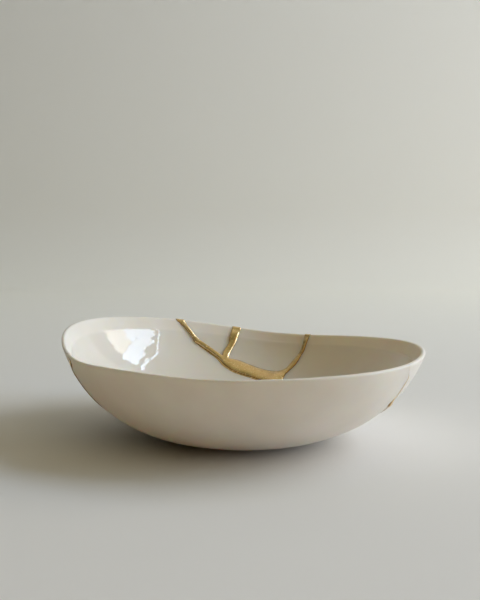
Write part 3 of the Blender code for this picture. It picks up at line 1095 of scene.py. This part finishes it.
def gold():
    material, tree, shader = new_material("gold_lacquer")
    place = node(tree, "ShaderNodeTexCoord", output=3)
    inside = node(tree, "ShaderNodeAttribute", {"attribute_name": "inside"}, output=2)
    cloudy = ramp(noise_at(tree, place, GOLD_CLOUDS), (0.3, 0.0), (0.7, 1.0))
    powder = noise_at(tree, place, POWDER)
    strokes = noise_at(tree, place, STROKES)
    # Painted shade with thin powder: darkest within 0.1 mm of the brim, gone by 0.34 mm
    edge = ramp(inside, (0.10, 1.0), (0.34, 0.0))
    metal = mix(cloudy, GOLD, GOLD_LIGHT)
    feed(tree, shader, "Base Color", mix(edge, metal, GOLD_THIN_BRIM_AND_PAINTED_SHADE))
    feed(tree, shader, "Metallic", 1.0)
    feed(tree, shader, "Roughness", 0.17 + 0.16 * strokes)
    feed(tree, shader, "Coat Weight", 0.5)
    feed(tree, shader, "Coat Roughness", 0.10)
    bump = {"Strength": 0.14, "Distance": POWDER_DISTANCE, "Height": powder * 0.4 + strokes}
    feed(tree, shader, "Normal", node(tree, "ShaderNodeBump", {}, bump))
    return material


seams = lay("gold_lacquer_seams", gold_shape.points, gold_shape.faces, gold())
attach(seams, "root")
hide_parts("gold_seams")

# %% [markdown]
# ## The floor
#
# A pale floor sweeps up into a pale wall, as a roll of studio paper does, so that no line shows behind
# the bowl. Two planes would do, but their corner would show. The wall ends a little to the right of what
# the camera sees, because the farthest panels of light shine past it. The floor goes on there.

# %% The floor
FLOOR_COLOUR = (0.82, 0.805, 0.78, 1)
WALL_COLOUR = (0.93, 0.915, 0.86, 1)
WALL_LINE = 0.85
WALL_END = 0.75
WALL_TOP = 2.0
SWEEP = 0.10
SWEEP_TURNS = [math.radians(degrees) for degrees in range(5, 91, 5)]
FLOOR_FRONT = -1.6
STAGE_HALF = 1.3
WALL_TINT_FROM, WALL_TINT_TO = 0.1, 0.7


def sweep_floor():
    """A floor that curves up into a wall."""
    section = [(FLOOR_FRONT, 0.0), (WALL_LINE - SWEEP, 0.0)]
    section += [(WALL_LINE - SWEEP + SWEEP * math.sin(turn), SWEEP - SWEEP * math.cos(turn))
                for turn in SWEEP_TURNS]
    section.append((WALL_LINE, WALL_TOP))
    mesh = bpy.data.meshes.new("floor")
    points = [(x, y, z) for y, z in section for x in (-STAGE_HALF, WALL_END, STAGE_HALF)]
    faces = [(3 * index, 3 * index + 1, 3 * index + 4, 3 * index + 3) for index in range(len(section) - 1)]
    faces.append((1, 2, 5, 4))
    mesh.from_pydata(points, [], faces)
    mesh.shade_smooth()
    made = bpy.data.objects.new("floor", mesh)
    bpy.context.scene.collection.objects.link(made)
    material, tree, shader = new_material("floor")
    place = node(tree, "ShaderNodeTexCoord", output=3)
    depth = node(tree, "ShaderNodeSeparateXYZ", {}, {"Vector": place}, output=1)
    tint = ramp(depth, (WALL_TINT_FROM, 0.0), (WALL_TINT_TO, 1.0))
    feed(tree, shader, "Base Color", mix(tint, FLOOR_COLOUR, WALL_COLOUR))
    feed(tree, shader, "Roughness", 0.9)
    feed(tree, shader, "Specular IOR Level", 0.1)
    mesh.materials.append(material)
    return made


sweep_floor()
print("the floor turns up", round((WALL_LINE - SWEEP) / MM), "mm behind the bowl")

# %% [markdown]
# ## The bank of lights
#
# A glossy glaze shows what lights it, so the shape of the lights counts as much as their strength. A tall
# bank of soft panels stands on the right and a little behind. Most of them are as blue as daylight, the
# lower far ones are creamy, and an amber panel beside the bank fills the front. One big lamp would light
# the bowl as well, but its reflection would be a plain square. So each panel is an area light of its own,
# in the place where the glaze shows it.

# %% The panels
BANK_AWAY = 1.5
CREAM = (3.55, 3.40, 3.10)
DAYLIGHT = (4.1, 4.95, 6.15)
PANELS = (
    ("low_panel", 82, (-0.50, 0.165), (0.05, 0.95), 0, CREAM),
    ("wider_panel", 82, (-0.58, 0.165), (0.95, 1.20), 0, CREAM),
    ("widest_panel", 82, (-0.67, -0.02), (1.20, 1.46), 0, CREAM),
    ("inner_panel", 82, (-0.02, 0.165), (1.20, 1.46), 0, DAYLIGHT),
    ("high_panel", 82, (-0.80, -0.150), (1.47, 1.97), 0, DAYLIGHT),
    ("middle_panel", 82, (-0.148, 0.165), (1.47, 1.84), 0, DAYLIGHT),
    ("near_panel", 82, (0.175, 0.500), (0.05, 1.90), 0, DAYLIGHT),
    ("edge_panel", 82, (0.502, 0.735), (0.05, 1.74), 0, DAYLIGHT),
    ("slanted_strip", 82, (0.102, 0.930), (1.98, 2.05), 31.7, DAYLIGHT),
    ("top_strip", 82, (-0.350, 0.160), (2.24, 2.33), 0, DAYLIGHT),
    ("far_strip", 82, (-0.980, -0.355), (2.10, 2.22), 0, DAYLIGHT),
    ("amber_side", 145, (-0.668, 0.668), (0.05, 1.60), 0, (0.62, 0.42, 0.18)),
)


def panel(name, facing, widths, heights, tilt, brightness):
    """A light in an upright plane that faces the bowl from the azimuth facing. Its ends are told along
    that plane and above the floor, and tilt turns it in the plane."""
    facing = math.radians(facing)
    outwards = Vector((math.sin(facing), math.cos(facing), 0))
    along = Vector((math.cos(facing), -math.sin(facing), 0))
    lamp = bpy.data.lights.new(name, "AREA")
    lamp.shape = "RECTANGLE"
    lamp.size = widths[1] - widths[0]
    lamp.size_y = heights[1] - heights[0]
    lamp.color = brightness
    lamp.energy = math.pi * lamp.size * lamp.size_y
    made = bpy.data.objects.new(name, lamp)
    made.location = outwards * BANK_AWAY + along * sum(widths) / 2
    made.location.z = sum(heights) / 2
    turn = (-outwards).to_track_quat("-Z", "Y") @ Quaternion((0, 0, 1), math.radians(tilt))
    made.rotation_euler = turn.to_euler()
    bpy.context.scene.collection.objects.link(made)


for values in PANELS:
    panel(*values)
print(len(PANELS), "panels of light")

# %% [markdown]
# ## The studio's own light
#
# A studio's ceiling and far wall send a little of the light back. An image of a studio could light the
# scene too, but a few soft lobes, each round its own direction, are easier to balance against the
# shadows. The camera itself sees a plain pale surround instead of them, where it looks past the floor.

# %% The lobes
LOBE_POWER = 3
LOBES = (
    ("ceiling", (0.0, 0.0, 1.0), (0.37, 0.36, 0.21)),
    ("ceiling_at_the_back", (0.0, 0.7, 0.7), (0.33, 0.26, 0.31)),
)
SURROUND = (0.55, 0.54, 0.51, 1)


def studio_light():
    """A few soft lobes of light, each round its own direction."""
    world = bpy.data.worlds.new("studio")
    bpy.context.scene.world = world
    world.use_nodes = True
    tree = world.node_tree
    shader = next(item for item in tree.nodes if item.type == "BACKGROUND")
    direction = node(tree, "ShaderNodeTexCoord")
    total = None
    for _, towards, colour in LOBES:
        facing = node(tree, "ShaderNodeVectorMath", {"operation": "DOT_PRODUCT"},
                      {0: direction, 1: Vector(towards).normalized()}, output=1)
        strength = maths("MAXIMUM", facing, 0) ** LOBE_POWER
        lobe = node(tree, "ShaderNodeVectorMath", {"operation": "SCALE"}, {0: colour, "Scale": strength})
        if total is not None:
            lobe = node(tree, "ShaderNodeVectorMath", {"operation": "ADD"}, {0: total, 1: lobe})
        total = lobe
    seen_by_camera = node(tree, "ShaderNodeLightPath")
    feed(tree, shader, "Color", mix(seen_by_camera, total, SURROUND))
    feed(tree, shader, "Strength", 1.0)


studio_light()
bpy.context.scene.view_settings.view_transform = "Standard"
print(len(LOBES), "lobes of the studio's own light")

# %% [markdown]
# ## The camera
#
# The camera stands half a metre away, a little above the lip, and looks slightly down. Its place comes
# from the perspective of the bowl's two ovals, the lip and the foot. A longer lens from farther off
# would flatten them. No depth of field is set, so that every view is sharp.

# %% The camera
EYE = Vector((0, -0.49136, 0.11908))
LOOK_DOWN = math.radians(5.98)
LENS_IN_MM, SENSOR_IN_MM = 60, 36
camera = bpy.data.cameras.new("camera")
camera.lens = LENS_IN_MM
camera.sensor_width = SENSOR_IN_MM
camera.clip_start = 10 * MM
eye = bpy.data.objects.new("camera", camera)
eye.location = EYE
eye.rotation_euler = (math.radians(90) - LOOK_DOWN, 0, 0)
bpy.context.scene.collection.objects.link(eye)
bpy.context.scene.camera = eye
print("the camera stands", round(EYE.length / MM), "mm from the middle of the foot")
